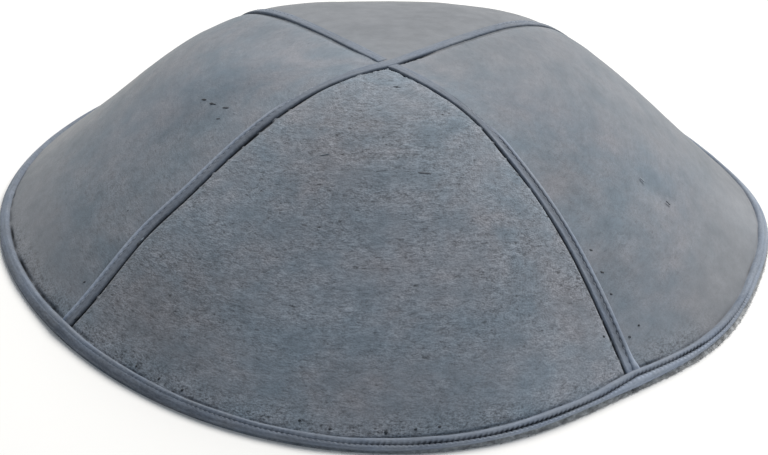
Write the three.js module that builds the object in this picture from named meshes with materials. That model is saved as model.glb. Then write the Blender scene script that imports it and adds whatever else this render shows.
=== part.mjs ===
// A suede skullcap of four panels, in millimetres with +Z up. It rests on its flat lower edge. The origin
// is on the plane of that edge, in the middle of the cap's outline, and -Y is the cap's front.
import * as THREE from "three";
import { mergeVertices } from "three/addons/utils/BufferGeometryUtils.js";

// Driving sizes
const crownHeight = 39.5; // of the point where the four panels meet
const crownShift = new THREE.Vector2(0.5, -2.5); // of that point, from the middle of the lower edge
const crownLean = 0.05; // rise per mm towards the front of the level stretch round the crown
const wall = 1.4; // suede
const pieceGap = 0.3; // between pieces that touch on the real cap
const seamTrim = { width: 2.2, height: 0.9, wideShare: 0.62 };
const rimTrim = { width: 2.9, height: 1.0, wideShare: 0.5 };
// Heights in a strip's section, as shares of its full height. Each lobe is a curve that its control point
// pulls up from the foot and from the groove, and the curve stays below that point.
const lobeShape = { foot: 0.3, groove: 0.6, controlPoint: 1.55 };
const outlineCentre = new THREE.Vector2(0.72, 1.14); // of the finished cap, moved to the origin

// The outer form: a row for each seam and each panel's middle, in order round the cap.
//   bearing: direction from the middle, in degrees from +X towards +Y
//   reach: radius of the lower edge
//   crownReach: how far the line runs out level from the crown before it bends down
//   shoulderReach, shoulderHeight: where the straight run down to the lower edge would start
//   bow: how far the line swings to the side halfway down
//   rawEdge: width of suede that shows below the rim trim
const columns = ["bearing", "reach", "crownReach", "shoulderReach", "shoulderHeight", "bow", "rawEdge"];
const form = [
  [219.0, 88.5, 24, 34, 35, -2.5, 0.4], // front left seam
  [274.0, 91.0, 45, 58, 26, 0.0, 0.7], // front panel
  [308.0, 87.5, 30, 50, 35, 3.0, 1.4], // front right seam
  [351.5, 90.5, 48, 55, 24, 0.0, 0.6], // right panel
  [401.0, 87.5, 52, 53, 40, 1.5, 0.5], // back right seam
  [448.0, 93.0, 48, 60, 32, 0.0, 0.5], // back panel
  [488.0, 87.0, 58, 48, 39, 3.0, 0.5], // back left seam
  [536.0, 91.5, 50, 53, 26, 0.0, 0.4], // left panel
];
// Where the lower edge stands out: the place round the cap in rows of the table, how far, and how wide.
const bulges = [
  { place: 2.4, out: 1.5, spread: 0.3 },
  { place: 3.2, out: 3.0, spread: 0.3 },
];
const seams = { frontLeft: 0, frontRight: 2, backRight: 4, backLeft: 6 };

// Fineness of the faceted surfaces
const panelColumns = 14;
const panelRows = 18;
const trimSteps = 18; // from the crown to the edge
const rimSteps = 72;
const lobeSegments = 4;
const tipDown = 0.008; // where a panel's tip is cut blunt, on the scale where 1 is the lower edge
const nudge = 0.004; // step for slopes, on the same scale

const suede = { color: 0x737981, roughness: 0.95, metalness: 0 };
const binding = { color: 0x8790a0, roughness: 0.7, metalness: 0 };

// How much a row of the table counts at a place round the cap: all at the row itself, none at the other
// rows, and smooth between them.
function weight(row, around) {
  const half = (Math.PI * (around - row)) / form.length;
  if (Math.abs(Math.sin(half)) < 1e-9) return 1;
  return Math.sin(form.length * half) / (form.length * Math.tan(half));
}

function size(name, around) {
  const column = columns.indexOf(name);
  return form.reduce((sum, row, index) => sum + row[column] * weight(index, around), 0);
}

// The bearing grows all the way round, so the even part of it is taken out before the rows are blended.
function bearingAt(around) {
  const step = 360 / form.length;
  const uneven = form.reduce((sum, row, index) => sum + (row[0] - step * index) * weight(index, around), 0);
  return THREE.MathUtils.degToRad(uneven + step * around);
}

function bulgeAt(around) {
  const rows = form.length;
  return bulges.reduce((sum, { place, out, spread }) => {
    const away = THREE.MathUtils.euclideanModulo(around - place + rows / 2, rows) - rows / 2;
    return sum + out * Math.exp(-((away / spread) ** 2));
  }, 0);
}

// A point of the outer surface. around is the place in rows of the table, and down runs from 0 at the
// crown to 1 at the lower edge.
function skin(around, down) {
  const bearing = bearingAt(around);
  const crownReach = size("crownReach", around);
  const leanHeight = crownHeight - crownLean * crownReach * Math.sin(bearing);
  const line = new THREE.CubicBezierCurve(
    new THREE.Vector2(0, crownHeight),
    new THREE.Vector2(crownReach, leanHeight),
    new THREE.Vector2(size("shoulderReach", around), size("shoulderHeight", around)),
    new THREE.Vector2(size("reach", around) + bulgeAt(around), 0),
  );
  const { x: reach, y: height } = line.getPoint(down);
  const swing = (size("bow", around) * Math.sin(Math.PI * down)) / Math.max(reach, 1);
  const shift = crownShift.clone().multiplyScalar((1 - down) ** 2 * (1 + 2 * down));
  const x = reach * Math.cos(bearing + swing) + shift.x;
  const y = reach * Math.sin(bearing + swing) + shift.y;
  return new THREE.Vector3(x, y, height);
}

function outward(around, down) {
  const middle = Math.max(down, 2 * nudge);
  const across = skin(around + nudge, middle).sub(skin(around - nudge, middle));
  const up = skin(around, middle - nudge).sub(skin(around, middle + nudge));
  return across.cross(up).normalize();
}

// How far down a line a distance in mm reaches, from the crown or from the lower edge.
function fromCrown(around, distance) {
  return (distance * nudge) / skin(around, nudge).distanceTo(skin(around, 0));
}

function fromEdge(around, distance) {
  return 1 - (distance * nudge) / skin(around, 1).distanceTo(skin(around, 1 - nudge));
}

// Moves each point of a flat-built solid to its place on the cap, and joins the points that meet.
function bend(geometry, place) {
  geometry.deleteAttribute("normal");
  geometry.deleteAttribute("uv");
  geometry.clearGroups();
  const points = geometry.getAttribute("position");
  for (let index = 0; index < points.count; index++) {
    points.setXYZ(index, ...place(new THREE.Vector3().fromBufferAttribute(points, index)));
  }
  const closed = mergeVertices(geometry);
  closed.computeVertexNormals();
  return closed;
}

function piece(name, geometry, look) {
  const mesh = new THREE.Mesh(geometry, new THREE.MeshStandardMaterial(look));
  mesh.name = name;
  return mesh;
}

// A panel between two seams: a thin box, bent so that its top edge is the tip at the crown.
function panel(name, firstSeam) {
  const place = ({ x, y, z }) => {
    const down = tipDown + (1 - tipDown) * (0.5 - y);
    const middle = firstSeam + 1;
    const halfWidth = skin(middle + 1, down).distanceTo(skin(middle, down));
    const around = middle + 2 * x * (1 - pieceGap / 2 / halfWidth);
    const point = skin(around, down);
    if (z > 0) return point;
    const inward = outward(around, down).negate();
    if (y > -0.5) return point.addScaledVector(inward, wall);
    // The inner face ends level with the outer one, which leaves the flat lower edge.
    const level = new THREE.Vector3(inward.x, inward.y, 0);
    return point.addScaledVector(level, wall / level.lengthSq());
  };
  const flat = new THREE.BoxGeometry(1, 1, 1, panelColumns, panelRows, 1);
  return piece(name, bend(flat, place), suede);
}

// Section of a folded strip with two lobes and a stitched groove between them: a wide lobe on the low
// side of x, and a narrow one on the high side.
function trimSection({ width, height, wideShare }) {
  const side = width / 2;
  const groove = width * wideShare - side;
  const foot = height * lobeShape.foot;
  const grooveHeight = height * lobeShape.groove;
  const crest = height * lobeShape.controlPoint;
  const section = new THREE.Shape();
  section.moveTo(-side, 0);
  section.lineTo(side, 0);
  section.lineTo(side, foot);
  section.quadraticCurveTo((side + groove) / 2, crest, groove, grooveHeight);
  section.quadraticCurveTo((groove - side) / 2, crest, -side, foot);
  section.closePath();
  return section;
}

// A strip along a seam line that comes up one seam and goes down another. Its stations run from -1 at
// the first seam's foot to 1 at the second one's, with 0 at the crown.
function seamStrip(name, [firstSeam, secondSeam], [start, end]) {
  const seamOf = (station) => (station < 0 ? firstSeam : secondSeam);
  const pointAt = (station) => skin(seamOf(station), Math.abs(station));
  const place = ({ x, y, z }) => {
    const station = start + (end - start) * z;
    const point = pointAt(station);
    const out = outward(seamOf(station), Math.abs(station));
    const along = pointAt(Math.min(station + nudge, 1)).sub(pointAt(Math.max(station - nudge, -1)));
    const side = out.clone().cross(along).normalize();
    return point.addScaledVector(side, x).addScaledVector(out, y + pieceGap);
  };
  const steps = Math.round(trimSteps * (end - start));
  const straight = new THREE.ExtrudeGeometry(trimSection(seamTrim), {
    depth: 1,
    steps,
    curveSegments: lobeSegments,
    bevelEnabled: false,
  });
  return piece(name, bend(straight, place), binding);
}

// Where a seam's strip stops: short of the rim trim, or short of the long strip at the crown.
function footStation(seam) {
  return fromEdge(seam, size("rawEdge", seam) + rimTrim.width + pieceGap);
}

function crossingStation(seam) {
  return fromCrown(seam, seamTrim.width / 2 + pieceGap);
}

// The strip round the outside of the cap, just above the raw edge: a ring with the strip's section, bent
// on to the skin. The ring's axis is its own Y.
function rimStrip(name) {
  const ringRadius = 10;
  const outline = trimSection(rimTrim).getPoints(lobeSegments);
  const profile = outline.map((point) => new THREE.Vector2(ringRadius + point.y, -point.x));
  profile.push(profile[0].clone());
  const place = ({ x, y, z }) => {
    const around = (Math.atan2(x, z) / (2 * Math.PI)) * form.length;
    const height = Math.hypot(x, z) - ringRadius;
    const upFromEdge = size("rawEdge", around) + rimTrim.width / 2 + y;
    const down = fromEdge(around, upFromEdge);
    return skin(around, down).addScaledVector(outward(around, down), height + pieceGap);
  };
  const ring = new THREE.LatheGeometry(profile, rimSteps);
  return piece(name, bend(ring, place), binding);
}

const cap = new THREE.Group();
cap.position.set(-outlineCentre.x, -outlineCentre.y, 0);

cap.add(panel("panel_front", seams.frontLeft));
cap.add(panel("panel_right", seams.frontRight));
cap.add(panel("panel_back", seams.backRight));
cap.add(panel("panel_left", seams.backLeft));

const { frontLeft, frontRight, backRight, backLeft } = seams;
const longSeam = [frontLeft, backRight];
const shortSeam = [backLeft, frontRight];
cap.add(seamStrip("seam_trim_long", longSeam, [-footStation(frontLeft), footStation(backRight)]));
cap.add(seamStrip("seam_trim_front", shortSeam, [crossingStation(frontRight), footStation(frontRight)]));
cap.add(seamStrip("seam_trim_back", shortSeam, [-footStation(backLeft), -crossingStation(backLeft)]));
cap.add(rimStrip("rim_trim"));

export default cap;
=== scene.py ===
# A suede skullcap of four panels with folded trims, in metres. around counts the rows of FORM round the
# cap, and down runs from 0 at the crown to 1 at the lower edge.
import math

import bpy
import numpy as np
from mathutils import Matrix, Vector


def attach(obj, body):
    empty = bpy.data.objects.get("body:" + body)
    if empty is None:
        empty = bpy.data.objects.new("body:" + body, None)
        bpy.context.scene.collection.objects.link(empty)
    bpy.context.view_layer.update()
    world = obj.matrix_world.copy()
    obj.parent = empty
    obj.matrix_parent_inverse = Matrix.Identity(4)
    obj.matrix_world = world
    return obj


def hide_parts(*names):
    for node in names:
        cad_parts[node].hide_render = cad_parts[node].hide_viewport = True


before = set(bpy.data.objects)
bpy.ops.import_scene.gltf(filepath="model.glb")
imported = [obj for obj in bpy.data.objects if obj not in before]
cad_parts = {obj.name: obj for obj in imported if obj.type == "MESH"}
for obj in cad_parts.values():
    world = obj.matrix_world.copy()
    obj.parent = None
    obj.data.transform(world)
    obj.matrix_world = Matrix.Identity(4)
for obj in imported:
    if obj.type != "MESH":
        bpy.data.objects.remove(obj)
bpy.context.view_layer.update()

MM = 0.001

# The form
CROWN_HEIGHT = 0.0395
CROWN_SHIFT = np.array([0.0005, -0.0025])
CROWN_LEAN = 0.05  # rise towards the front of the level stretch round the crown
OUTLINE_CENTRE = np.array([0.00072, 0.00114])
WALL = 0.0014
COLUMNS = ("bearing", "reach", "crown_reach", "shoulder_reach", "shoulder_height", "bow", "raw_edge")
FORM = np.array([
    (219.0, 0.0885, 0.024, 0.034, 0.035, -0.0025, 0.0004),  # front left seam
    (274.0, 0.0910, 0.045, 0.058, 0.026, 0.0, 0.0007),  # front panel
    (308.0, 0.0875, 0.030, 0.050, 0.035, 0.0030, 0.0014),  # front right seam
    (351.5, 0.0905, 0.048, 0.055, 0.024, 0.0, 0.0006),  # right panel
    (401.0, 0.0875, 0.052, 0.053, 0.040, 0.0015, 0.0005),  # back right seam
    (448.0, 0.0930, 0.048, 0.060, 0.032, 0.0, 0.0005),  # back panel
    (488.0, 0.0870, 0.058, 0.048, 0.039, 0.0030, 0.0005),  # back left seam
    (536.0, 0.0915, 0.050, 0.053, 0.026, 0.0, 0.0004),  # left panel
])
ROWS = len(FORM)
BULGES = ((2.4, 0.0015, 0.3), (3.2, 0.0030, 0.3))  # place, how far out, spread
FRONT_LEFT, FRONT_RIGHT, BACK_RIGHT, BACK_LEFT = 0, 2, 4, 6  # the seams' rows
# Where a hand-sewn seam swerves: its row, the place down it, how far sideways and the spread
SWERVES = (
    (FRONT_LEFT, 0.35, 0.0004, 0.25),
    (FRONT_LEFT, 0.83, -0.0012, 0.07),
    (FRONT_LEFT, 0.97, 0.0005, 0.05),
    (FRONT_RIGHT, 0.52, -0.0007, 0.14),
    (FRONT_RIGHT, 0.80, 0.0003, 0.12),
    (BACK_RIGHT, 0.70, 0.0006, 0.10),
    (BACK_LEFT, 0.65, -0.0006, 0.10),
)
SWERVE_REACH = 0.5  # how far round the cap a swerve fades
SWING_HOLD = 0.003  # nearer to the crown than this, the swing turns no further
NUDGE = 0.004  # step for slopes, on the scale of down and around
TIP = 0.006  # where a panel's tip is cut blunt, on the scale of down
ON_ROW = 1e-9  # a place this near to a row of the table counts as the row

# The trims of the seams
SEAM_WIDTH = 0.0029
SEAM_RISE = 0.00028  # of the wide lobe above the skin
SEAM_LOW = 0.00012  # of the narrow lobe, where it lies flat near the crown
# Each seam's look: the groove's distance from the seam towards the narrow lobe, that lobe's height and how
# far from the crown it starts, how much lighter the wide lobe is than the trim's colour, partly its own
# colour and partly painted shade, and how far from the crown that starts, the painted highlight on the
# narrow lobe, and how far the stitches show
SEAM_COLUMNS = ("groove", "ridge", "ridge_start", "wide_tone_and_painted_light", "wide_start", "ridge_highlight", "stitched")
BACK_LOOK = (0.0006, 0.0002, 0.03, -0.05, 0.01, 0.0, 0.0)
SEAM_LOOKS = {
    FRONT_LEFT: (0.00045, 0.0005, 0.024, -0.16, 0.024, 0.62, 0.0),
    FRONT_RIGHT: (0.00025, 0.00055, 0.03, -0.2, 0.008, 0.38, 1.0),
    BACK_RIGHT: BACK_LOOK,
    BACK_LEFT: BACK_LOOK,
}
SEAM_STITCH = 0.0016
SEAM_STEPS = 6  # stations for each stitch
SEAM_ROOT = 0.0010  # how deep a seam's trim is sunk in the suede
SEAM_SKIRT = -0.0001  # height of its sides
SEAM_ROUNDNESS = (0.32, 0.55)  # of the wide and the narrow lobe
RIDGE_GROWTH = 0.008  # along the seam, until the narrow lobe has its full height

# The rim's trim
RIM_WIDTH = 0.0029  # of its sunk under side
RIM_MIDDLE = 0.002  # above the cap's edge, where its length is measured
RIM_STITCH = 0.0011
RIM_STEPS = 5  # stations for each stitch
RIM_ROOT = 0.0007  # how deep it is sunk in the suede
RIM_SKIRT = -0.0002  # height of its lower side
RIM_ROUNDNESS = (0.85, 0.9)  # of the lower and the upper lobe
# Its look round the cap: heights above the cap's edge of its upper side and of its groove, how far it
# stands out, how strongly the stitches pull in, and the painted light and shade on the lower and upper
# lobes, lighter above 0
RIM_COLUMNS = ("place", "top", "groove", "rise", "pull", "lower_painted_light", "upper_painted_light")
RIM_LOOKS = np.array([
    (0.0, 0.00345, 0.0024, 0.00105, 0.15, -0.38, 0.05),
    (0.3, 0.00345, 0.0025, 0.0011, 0.34, -0.33, 0.12),
    (0.6, 0.00315, 0.0021, 0.00115, 0.42, -0.2, 0.12),
    (0.85, 0.00295, 0.0016, 0.00115, 0.55, -0.02, 0.08),
    (1.05, 0.0033, 0.0018, 0.00115, 0.75, 0.2, 0.08),
    (1.3, 0.0035, 0.002, 0.00115, 1.0, 0.5, 0.15),
    (1.8, 0.00375, 0.0022, 0.00115, 1.0, 0.62, 0.2),
    (1.92, 0.00405, 0.0027, 0.00115, 1.0, 0.66, 0.25),
    (2.0, 0.00445, 0.0031, 0.00115, 1.0, 0.7, 0.3),
    (2.1, 0.0042, 0.0029, 0.00115, 1.0, 0.62, 0.25),
    (2.35, 0.0038, 0.0025, 0.0011, 0.9, 0.6, 0.22),
    (2.6, 0.0035, 0.0021, 0.00095, 0.4, 0.32, 0.08),
    (3.0, 0.00325, 0.0018, 0.0007, 0.05, 0.35, 0.3),
    (4.2, 0.0032, 0.0018, 0.0006, 0.05, 0.4, 0.45),
    (6.4, 0.003, 0.0017, 0.00065, 0.05, 0.1, 0.1),
    (7.1, 0.00285, 0.0016, 0.00085, 0.02, 0.0, 0.0),
    (7.6, 0.0031, 0.0019, 0.00095, 0.02, -0.15, 0.0),
    (8.0, 0.00345, 0.0024, 0.00105, 0.15, -0.38, 0.05),
])

# Unevenness of the hand-made trims: rows of how much, the size of the lumps and their layer
GROOVE_WANDER = ((0.10 * MM, 0.024, 0), (0.05 * MM, 0.006, 1))
TOP_WANDER = ((0.12 * MM, 0.008, 2), (0.06 * MM, 0.0025, 3))
FOOT_WANDER = ((0.12 * MM, 0.017, 3),)
RIM_SWELL = ((0.10, 0.014, 2), (0.05, 0.004, 1))
RIM_MOTTLE = ((0.12, 0.011, 0), (0.08, 0.004, 2))
RIM_PULL = ((0.35, 0.005, 3),)
SEAM_WANDER = ((0.12 * MM, 0.012, 3),)
SEAM_EDGE_WANDER = ((0.05, 0.008, 1),)
SEAM_SWELL = ((0.12, 0.010, 0), (0.06, 0.004, 2))
SEAM_MOTTLE = ((0.10, 0.013, 0),)

# The painted shade in the gap beside a seam's trim: how dark it is, how dark it is next to the crown, how
# far it reaches, and how far stitches break it into dashes
OPEN_LEFT = (1.0, 1.0, 0.00046, 1.0)
OPEN_RIGHT = (1.0, 1.0, 0.00044, 0.9)
SOFT = (0.40, 0.15, 0.00075, 0.35)
FAINT = (0.35, 1.0, 0.00060, 0.3)
CLOSED = (0.0, 0.0, 0.0003, 0.0)
GAP_MIDDLE = SEAM_WIDTH / 2 + 0.00012  # from the seam
GAP_CORE = 0.45  # share of the reach where the painted shade is fully dark
GAP_DEPTH = 0.0007
GAP_DASH = 0.0045  # length of a dash and the bridge after it

# Loose fibres of the raw edge
FIBRES = 2600
FIBRE_RADIUS = 0.00003
FIBRE_LENGTH = (0.00010, 0.00032)

# The studio
FLOOR_HALF = 6.0
SKY_COLOUR = (0.87, 0.94, 1.0, 1.0)
SKY_STRENGTH = 0.32
KEY_COLOUR = (1.0, 0.965, 0.915)
KEY_POWER = 42.5
KEY_SIZE = 1.6
KEY_PLACE = (0.60, 0.98, 1.33)

# How far pieces keep clear of the floor
TRIM_CLEARANCE = 0.0001
FIBRE_CLEARANCE = 0.00002

# The camera, at the photo's angle
CAMERA_TARGET = (-0.000145, 0.000256, -0.007504)
CAMERA_DISTANCE = 0.368664
CAMERA_ELEVATION = math.radians(32.739)
CAMERA_ROLL = math.radians(1.694)
CAMERA_LENS = 69.92
CAMERA_NEAR = 0.01  # nothing nearer is drawn
SENSOR = 36.0
PICTURE = (768, 455)  # pixels

# Marks on the suede. photo x and photo y are the pixel where the photo shows a mark.
# Soft stains, painted light and shade, and dents: photo x, photo y, radius, lighter (+) or darker (-),
# and for some how far the suede is pushed out (+) or in (-). The five widest rows, at (385, 265),
# (170, 325), (80, 255), (262, 75) and (385, 128), are painted light and shade: lighter on the front's
# middle and the left panel's top, darker low on the left and front left and high on the front.
STAINS_AND_PAINTED_LIGHT = (
    (385, 265, 0.028, 0.13),
    (205, 80, 0.01, 0.1),
    (122, 128, 0.01, 0.1),
    (620, 100, 0.014, 0.08),
    (272, 160, 0.006, 0.1),
    (520, 415, 0.012, 0.1),
    (305, 315, 0.017, 0.15),
    (255, 185, 0.015, 0.06),
    (656, 168, 0.007, 0.08),
    (656, 188, 0.005, 0.08),
    (255, 205, 0.015, 0.05),
    (585, 300, 0.006, -0.08),
    (336, 376, 0.008, -0.09),
    (692, 292, 0.014, -0.07),
    (125, 292, 0.012, -0.07),
    (172, 232, 0.005, 0.08),
    (440, 310, 0.016, 0.08),
    (575, 385, 0.014, 0.24),
    (160, 100, 0.011, 0.18),
    (752, 225, 0.01, 0.25),
    (558, 178, 0.0095, -0.21),
    (605, 270, 0.008, -0.12),
    (500, 118, 0.007, -0.12),
    (715, 190, 0.008, 0.08),
    (515, 85, 0.018, 0.06),
    (718, 240, 0.015, 0.05),
    (670, 330, 0.01, 0.08),
    (170, 325, 0.022, -0.12),
    (80, 255, 0.018, -0.13),
    (262, 75, 0.018, 0.15),
    (340, 58, 0.014, 0.06),
    (385, 128, 0.013, -0.09),
    (388, 86, 0.009, 0.13),
    (430, 112, 0.008, 0.06),
    (300, 128, 0.007, 0.06),
    (220, 212, 0.0075, 0.14),
    (500, 190, 0.008, 0.06),
    (160, 262, 0.006, 0.06),
    (165, 142, 0.006, -0.05, -0.0002),
    (190, 126, 0.005, -0.04, -0.0002),
    (665, 198, 0.004, -0.05, -0.0003),
    (650, 186, 0.0035, -0.04, -0.0003),
    (690, 172, 0.008, 0.04, 0.0002),
    (410, 60, 0.006, 0.04),
    (372, 52, 0.007, 0.04),
    (330, 150, 0.012, -0.04),
    (160, 330, 0.01, -0.05),
)
# Small hard marks: photo x, photo y, length, width, turn in the picture in degrees, and for some the
# light share
FLECKS = (
    (204, 99.5, 0.0015, 0.00051, -25),
    (213, 104, 0.002, 0.00058, -30),
    (226, 108, 0.0019, 0.00051, -25, 0.1),
    (235, 114, 0.0014, 0.00043, -35, 0.8),
    (218, 119, 0.0011, 0.00043, -20, 0.2),
    (117, 260, 0.0006, 0.00043, 0),
    (128, 211, 0.0006, 0.00051, 40),
    (85, 282, 0.0006, 0.00043, 0),
    (141, 239, 0.0013, 0.00087, 20, 1.0),
    (138, 244.5, 0.001, 0.00087, 40),
    (386, 432, 0.0007, 0.00065, 0),
    (415, 430, 0.0007, 0.00051, 10),
    (440, 427, 0.0007, 0.00051, 20),
    (331, 429, 0.0007, 0.00058, 0),
    (300, 421, 0.0006, 0.00051, 0),
    (182, 389, 0.0007, 0.00051, 30),
    (158, 379, 0.0007, 0.00043, 50),
    (137, 366, 0.0006, 0.00043, 60),
    (591, 250, 0.001, 0.00058, 5),
    (602, 272, 0.001, 0.00058, 0),
    (611, 294, 0.0007, 0.00043, 0, 0.1),
    (603, 336, 0.0007, 0.00051, 0),
    (639, 326, 0.0006, 0.00043, 20),
    (630, 337, 0.0007, 0.00051, 10, 0.1),
    (530, 171, 0.0015, 0.00043, 20, 0.2),
    (325, 155, 0.0025, 0.00043, 0, 0.3),
    (382, 171, 0.0032, 0.00041, 3, 0.3),
    (425, 173, 0.0028, 0.00041, -5, 0.3),
    (642, 180, 0.0018, 0.00043, -35, 0.9),
    (668, 203, 0.0015, 0.00043, -40, 0.3),
    (747, 187, 0.0013, 0.00087, -60),
    (76, 319, 0.0013, 0.0005, 40),
    (397, 87, 0.0018, 0.0006, -15),
    (528, 153.5, 0.0016, 0.0006, 5, 0.1),
    (529, 161, 0.002, 0.0004, -15, 0.4),
    (514, 136, 0.001, 0.0005, 20, 0.2),
)

random = np.random.default_rng(7)


def camera_axes():
    """The camera's place, and its directions to the right, upwards and backwards."""
    sine, cosine = math.sin(CAMERA_ELEVATION), math.cos(CAMERA_ELEVATION)
    back = np.array([0.0, -cosine, sine])
    level = np.array([1.0, 0.0, 0.0])
    up = np.array([0.0, sine, cosine])
    across = level * math.cos(CAMERA_ROLL) + up * math.sin(CAMERA_ROLL)
    upright = up * math.cos(CAMERA_ROLL) - level * math.sin(CAMERA_ROLL)
    return np.array(CAMERA_TARGET) + back * CAMERA_DISTANCE, across, upright, back


def new_object(name, data):
    made = bpy.data.objects.new(name, data)
    bpy.context.scene.collection.objects.link(made)
    return made


def photo_camera():
    place, across, upright, back = camera_axes()
    data = bpy.data.cameras.new("camera")
    data.lens = CAMERA_LENS
    data.sensor_width = SENSOR
    data.clip_start = CAMERA_NEAR
    camera = new_object("camera", data)
    turn = Matrix((across, upright, back)).transposed().to_4x4()
    camera.matrix_world = Matrix.Translation(Vector(place)) @ turn
    bpy.context.scene.camera = camera


def seen(points):
    """Where the camera sees points, in the photo's pixels."""
    place, across, upright, back = camera_axes()
    away = points - place
    scale = CAMERA_LENS / SENSOR * PICTURE[0] / -(away @ back)
    x = PICTURE[0] / 2 + scale * (away @ across)
    y = PICTURE[1] / 2 - scale * (away @ upright)
    return np.stack([x, y], axis=-1)


# The cap's surface


def sizes(around):
    """The table's columns at places round the cap, smooth between its rows."""
    half = np.pi * (np.asarray(around, float)[..., None] - np.arange(ROWS)) / ROWS
    on_row = np.abs(np.sin(half)) < ON_ROW
    share = np.sin(ROWS * half) / (ROWS * np.where(on_row, 1.0, np.tan(half)))
    step = 360 / ROWS
    table = FORM.copy()
    table[:, 0] -= step * np.arange(ROWS)
    made = dict(zip(COLUMNS, np.moveaxis(np.where(on_row, 1.0, share) @ table, -1, 0)))
    made["bearing"] = np.radians(made["bearing"] + step * around)
    for place, out, spread in BULGES:
        made["reach"] = made["reach"] + out * near_row(around, place, spread)
    return made


def rim_look(column, around):
    """One column of RIM_LOOKS at places round the cap."""
    return np.interp(around % ROWS, RIM_LOOKS[:, 0], RIM_LOOKS[:, RIM_COLUMNS.index(column)])


def hump(values, centre, spread):
    """1 at the centre, and fading to 0 on both sides."""
    return np.exp(-(((values - centre) / spread) ** 2))


def near_row(around, row, spread):
    """A hump round the cap at a row of the table."""
    return hump((around - row + ROWS / 2) % ROWS - ROWS / 2, 0, spread)


def ramp(low, high, values):
    """0 up to low, 1 from high on, and smooth between them."""
    share = np.clip((values - low) / (high - low), 0, 1)
    return share * share * (3 - 2 * share)


def bezier(points, share):
    rest = 1 - share
    parts = (rest**3, 3 * rest**2 * share, 3 * rest * share**2, share**3)
    return sum(point * part for point, part in zip(points, parts))


def skin(around, down):
    around, down = np.broadcast_arrays(np.asarray(around, float), np.asarray(down, float))
    size = sizes(around)
    bearing = size["bearing"]
    lean = CROWN_HEIGHT - CROWN_LEAN * size["crown_reach"] * np.sin(bearing)
    reach = bezier((0.0, size["crown_reach"], size["shoulder_reach"], size["reach"]), down)
    height = bezier((CROWN_HEIGHT, lean, size["shoulder_height"], 0.0), down)
    swing = size["bow"] * np.sin(np.pi * down)
    for seam, place, sideways, spread in SWERVES:
        swing = swing + sideways * hump(down, place, spread) * near_row(around, seam, SWERVE_REACH)
    angle = bearing + swing / np.maximum(reach, SWING_HOLD)
    shift = (1 - down) ** 2 * (1 + 2 * down)
    x = reach * np.cos(angle) + shift * CROWN_SHIFT[0] - OUTLINE_CENTRE[0]
    y = reach * np.sin(angle) + shift * CROWN_SHIFT[1] - OUTLINE_CENTRE[1]
    return np.stack([x, y, height], axis=-1)


def norm(vectors):
    return np.linalg.norm(vectors, axis=-1)


def unit(vectors):
    return vectors / norm(vectors)[..., None]


def outward(around, down):
    middle = np.maximum(down, 2 * NUDGE)
    across = skin(around + NUDGE, middle) - skin(around - NUDGE, middle)
    up = skin(around, middle - NUDGE) - skin(around, middle + NUDGE)
    return unit(np.cross(across, up))


def from_edge(around, distance):
    """The down value at a distance above the lower edge."""
    step = norm(skin(around, 1.0) - skin(around, 1 - NUDGE))
    return 1 - distance * NUDGE / step


def lengths(points, axis):
    """Running length along one axis of a grid of points."""
    steps = norm(np.diff(points, axis=axis))
    start = np.zeros_like(np.take(steps, [0], axis=axis))
    return np.concatenate([start, np.cumsum(steps, axis=axis)], axis=axis)


def even_steps(points, places, spacing, multiple=1):
    """Even distances along a line of points, and the places there. They make a multiple of steps."""
    run = lengths(points, 0)
    count = multiple * int(round(run[-1] / (spacing * multiple)))
    distance = np.linspace(0, run[-1], count + 1)
    return distance, np.interp(distance, run, places)


LATTICE = np.random.default_rng(3).uniform(-1, 1, (4, 48, 48, 48))  # layers of a cube of random values


def lumps(points, size, layer):
    """Smooth random values from -1 to 1 at points in space, in lumps of about the given size."""
    far_off = 512.0  # keeps the places positive
    place = points / size + far_off
    low = np.floor(place).astype(int)
    share = ramp(0, 1, place - low)
    total = 0.0
    for corner in np.ndindex(2, 2, 2):
        near = np.where(np.array(corner) == 1, share, 1 - share).prod(axis=-1)
        index = (low + corner) % LATTICE.shape[1]
        total = total + near * LATTICE[layer][index[..., 0], index[..., 1], index[..., 2]]
    return total


def uneven(values, points, rows):
    """Values with lumps added, for rows of how much, the size of the lumps and their layer."""
    return sum((amount * lumps(points, size, layer) for amount, size, layer in rows), values)


# A dense grid of the skin and where the camera sees it
SEARCH_AROUND = np.linspace(0, ROWS, 1600, endpoint=False)[:, None]
SEARCH_DOWN = np.linspace(0.02, 1, 400)[None]
SEARCH_POINTS = skin(SEARCH_AROUND, SEARCH_DOWN)
SEARCH_SEEN = seen(SEARCH_POINTS)
FACING = (outward(SEARCH_AROUND, SEARCH_DOWN) * (camera_axes()[0] - SEARCH_POINTS)).sum(-1) > 0


def behind_pixel(photo_x, photo_y):
    """The place round the cap and down it that the camera sees at a pixel."""
    distance = norm(SEARCH_SEEN - [photo_x, photo_y])
    row, column = np.unravel_index(np.where(FACING, distance, np.inf).argmin(), distance.shape)
    return SEARCH_AROUND[row, 0], SEARCH_DOWN[0, column]


# Meshes


def loft(grid, ring):
    """Faces of closed bodies. The grid holds points as [body, station, place in the section]. A section
    is a loop whose first half lies over its second half, and quads between the halves close the ends."""
    bodies, stations, section = grid.shape[:3]
    index = np.arange(bodies * stations * section).reshape(bodies, stations, section)
    here = index if ring else index[:, :-1]
    ahead = np.roll(index, -1, axis=1) if ring else index[:, 1:]
    beside = [np.roll(block, -1, axis=2) for block in (ahead, here)]
    faces = [np.stack([here, ahead, *beside], axis=-1).reshape(-1, 4)]
    for station, order in () if ring else ((0, 1), (-1, -1)):
        over, under = np.split(index[:, station], 2, axis=-1)
        under = under[:, ::-1]
        cap = np.stack([over[:, :-1], over[:, 1:], under[:, 1:], under[:, :-1]], axis=-1)
        faces.append(cap.reshape(-1, 4)[:, ::order])
    return np.vstack(faces)


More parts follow.
